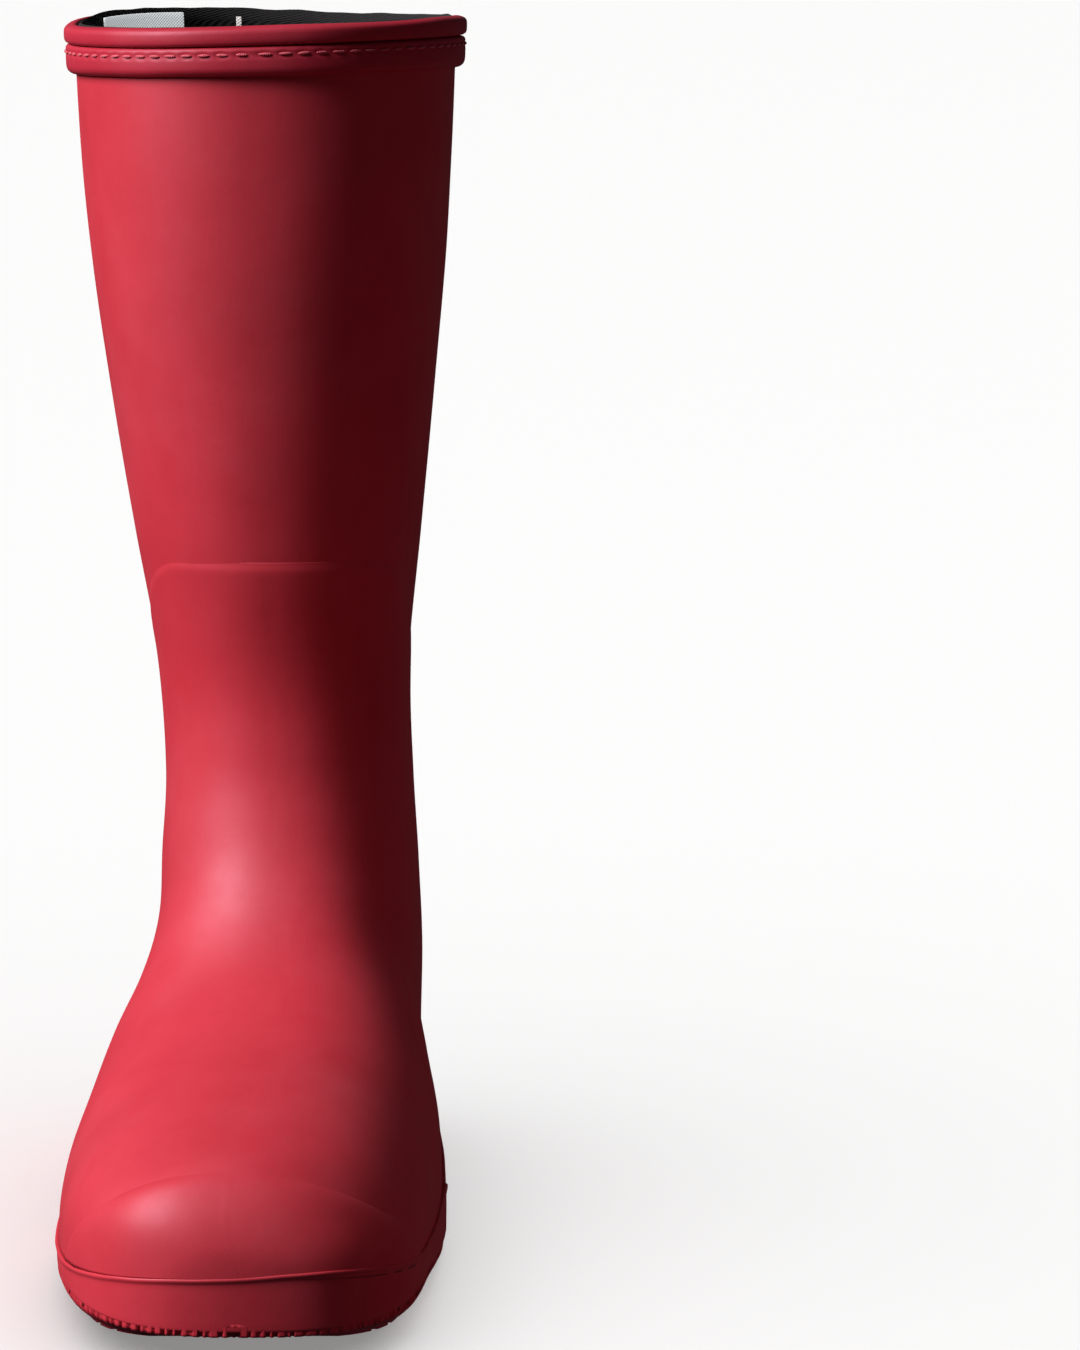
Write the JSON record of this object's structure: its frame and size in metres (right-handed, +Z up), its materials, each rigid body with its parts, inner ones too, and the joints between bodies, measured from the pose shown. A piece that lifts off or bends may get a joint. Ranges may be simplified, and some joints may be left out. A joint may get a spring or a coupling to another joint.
{
  "type": "rubber rain boot",
  "caption": "Tall red rubber rain boot for the right foot, with a banded collar, textile lining, treaded sole and a loose footbed; the ankle flexes.",
  "frame": {"origin": "middle of the bounding box, on the ground under the boot", "axes": "+Z up, toe towards -Y, inner side of the right foot towards +X"},
  "size_m": [0.1151, 0.2732, 0.3409],
  "materials": {
    "red_rubber": "smooth satin natural rubber",
    "red_sole_rubber": "matte moulded sole rubber",
    "black_lining": "near-black knitted lining",
    "grey_label": "woven grey label, blank",
    "pale_tape": "pale woven tape",
    "red_thread": "dark red thread",
    "board": "pressed fibre insole board",
    "foam": "dense dark grey foam",
    "footbed_cloth": "dark woven cover cloth",
    "stiff_fabric": "stiffened canvas",
    "steel": "plain spring steel"
  },
  "bodies": {
    "foot": {"quarters": "red_rubber", "vamp": "red_rubber", "toe_cap": "red_rubber", "heel_patch": "red_rubber", "toe_puff": "stiff_fabric", "counter_stiffener": "stiff_fabric", "foot_lining": "black_lining", "foxing_strip": "red_rubber", "outsole": "red_sole_rubber", "heel_block": "red_sole_rubber", "insole_board": "board", "heel_filler": "foam", "forefoot_filler": "foam", "shank": "steel", "ankle_shell": "red_rubber", "ankle_lining": "black_lining", "ankle_overlay": "red_rubber"},
    "leg": {"leg_shell": "red_rubber", "leg_lining": "black_lining", "collar_lip": "red_rubber", "collar_band": "red_rubber", "collar_stitch_thread": "red_thread", "size_label": "grey_label", "rear_seam_tape": "pale_tape"},
    "insole": {"footbed": "foam", "footbed_cloth": "footbed_cloth"}
  },
  "joints": [
    {"name": "ankle_flex", "type": "hinge", "parent": "foot", "child": "leg", "pos_m": [0.0047, 0.0744, 0.122], "axis": [1, 0, 0], "range_deg": [-10, 18], "stiffness_Nm_per_rad": 15, "deforming": ["ankle_shell", "ankle_lining", "ankle_overlay"]},
    {"name": "footbed_lift", "type": "hinge", "parent": "foot", "child": "insole", "pos_m": [0.0014, -0.1271, 0.0196], "axis": [1, 0, 0], "range_deg": [0, 5]}
  ]
}
